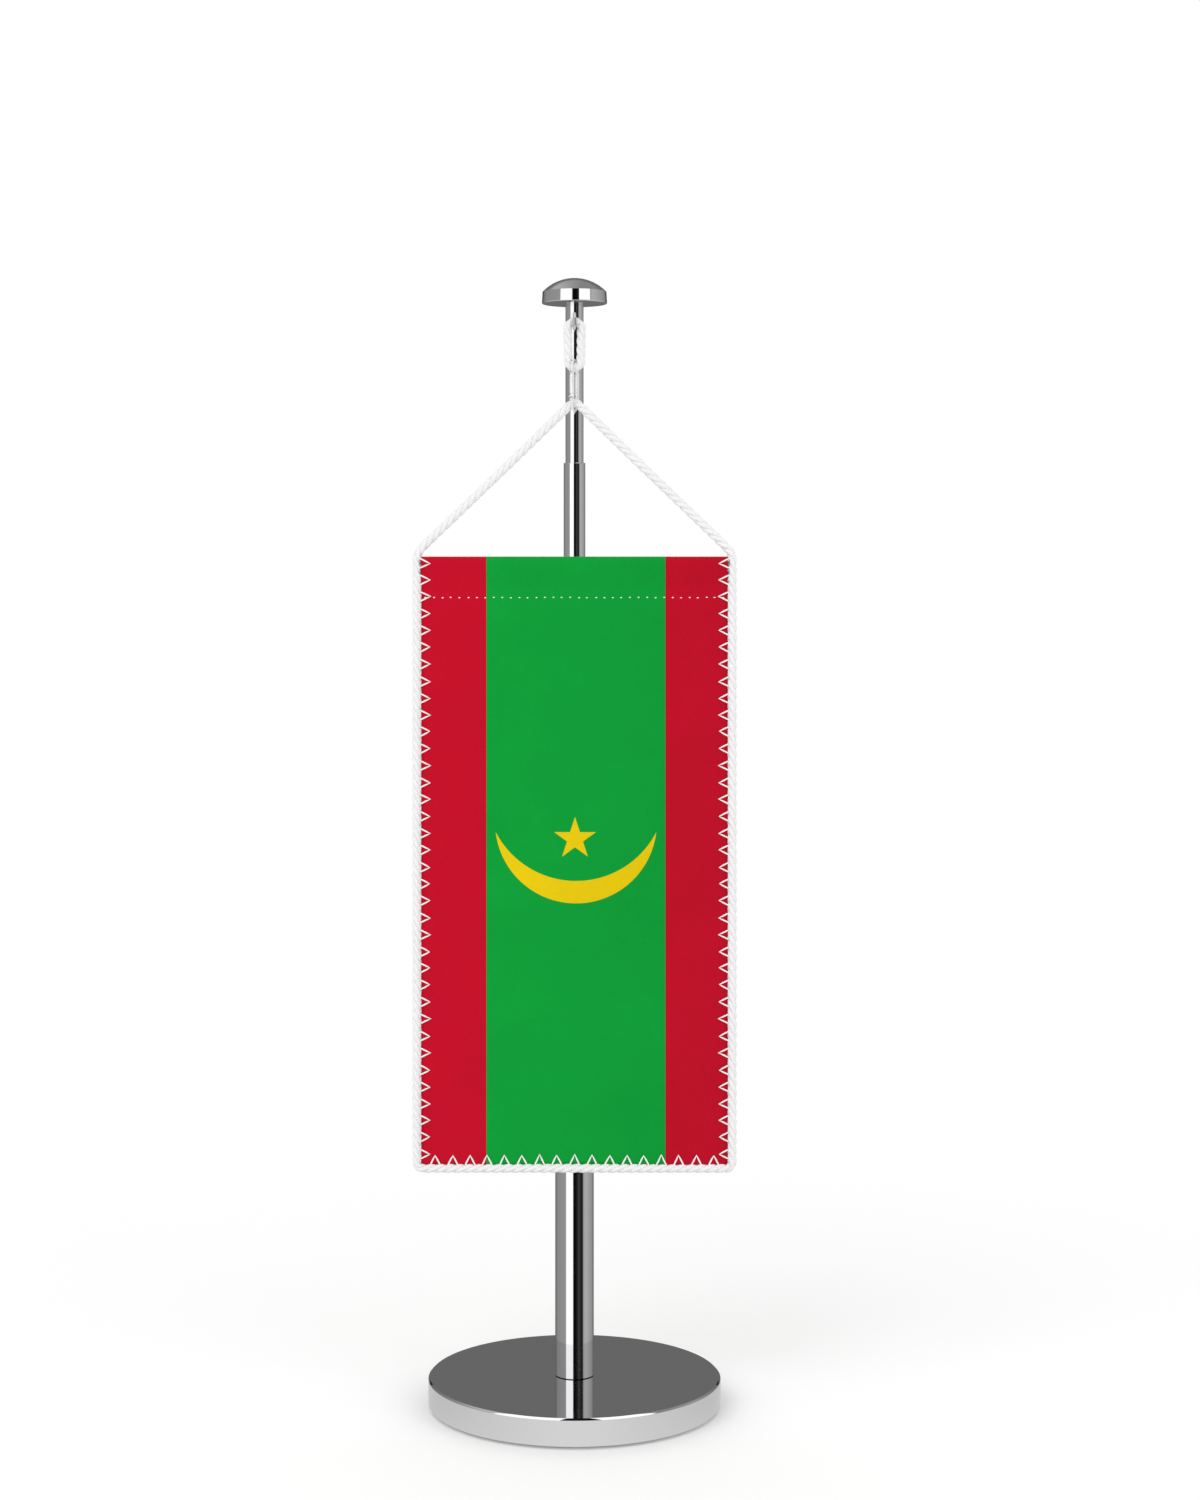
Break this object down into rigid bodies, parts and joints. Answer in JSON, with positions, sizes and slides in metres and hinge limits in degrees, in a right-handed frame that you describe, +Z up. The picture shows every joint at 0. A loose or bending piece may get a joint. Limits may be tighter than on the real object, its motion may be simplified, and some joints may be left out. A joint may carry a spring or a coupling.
{
  "type": "desk flag stand",
  "caption": "Telescopic chrome pole on a round weighted base, with a rectangular pennant hung from a hook under its knob by a cord bridle and a snap link.",
  "frame": {"origin": "centre of the underside of the base pad, on the pole's axis", "axes": "+Z up along the pole, +X to the pennant's right, -Y towards the pennant's face"},
  "size_m": [0.1334, 0.121, 0.4672],
  "materials": {
    "polished_chrome": "mirror polished",
    "zinc_steel": "zinc plated",
    "bright_plate": "bright plated, satin",
    "felt": "needled felt",
    "nylon": "moulded",
    "rubber": "moulded",
    "white_cord": "three-strand twisted",
    "pennant_cloth": "satin-look woven polyester",
    "rod_plastic": "extruded"
  },
  "bodies": {
    "stand": {"base_disc": "polished_chrome", "base_pad": "felt", "base_screw": "zinc_steel", "screw_washer": "zinc_steel", "tube_plug": "zinc_steel", "lower_tube": "polished_chrome", "guide_bush": "polished_chrome"},
    "swivel": {"turn_sleeve": "nylon"},
    "middle_pole": {"middle_tube": "polished_chrome", "middle_foot": "nylon", "middle_friction_ring": "rubber"},
    "top_pole": {"top_tube": "polished_chrome", "top_foot": "nylon", "top_friction_ring": "rubber", "top_plug": "zinc_steel", "knob_stud": "zinc_steel", "finial_knob": "polished_chrome", "hanging_hook": "polished_chrome"},
    "loop": {"hanging_loop": "white_cord"},
    "link": {"link_frame": "bright_plate", "gate_pin": "zinc_steel"},
    "gate": {"link_gate": "bright_plate"},
    "pennant": {"pennant_cloth": "pennant_cloth", "hem_rod": "rod_plastic", "bridle_left": "white_cord", "bridle_right": "white_cord", "border_left": "white_cord", "border_right": "white_cord", "border_bottom": "white_cord"}
  },
  "joints": [
    {"name": "pole_turn", "type": "hinge", "parent": "stand", "child": "swivel", "pos_m": [0, 0, 0.2325], "axis": [0, 0, 1], "continuous": true},
    {"name": "middle_slide", "type": "slide", "parent": "swivel", "child": "middle_pole", "axis": [0, 0, 1], "range_m": [-0.042, 0]},
    {"name": "top_slide", "type": "slide", "parent": "middle_pole", "child": "top_pole", "axis": [0, 0, 1], "range_m": [-0.032, 0]},
    {"name": "loop_swing", "type": "hinge", "parent": "top_pole", "child": "loop", "pos_m": [0, -0.0106, 0.4453], "axis": [0, 1, 0], "range_deg": [-20, 20]},
    {"name": "link_tilt", "type": "hinge", "parent": "loop", "child": "link", "pos_m": [0, -0.0106, 0.42915], "axis": [-1, 0, 0], "range_deg": [0, 20]},
    {"name": "gate_open", "type": "hinge", "parent": "link", "child": "gate", "pos_m": [-0.00105, -0.01357, 0.4172], "axis": [-0.9426, 0.3338, 0], "range_deg": [0, 20], "stiffness_Nm_per_rad": 0.002, "springref_deg": -17.19},
    {"name": "pennant_swing", "type": "hinge", "parent": "link", "child": "pennant", "pos_m": [0, -0.0106, 0.41135], "axis": [0, 1, 0], "range_deg": [-15, 15]}
  ]
}
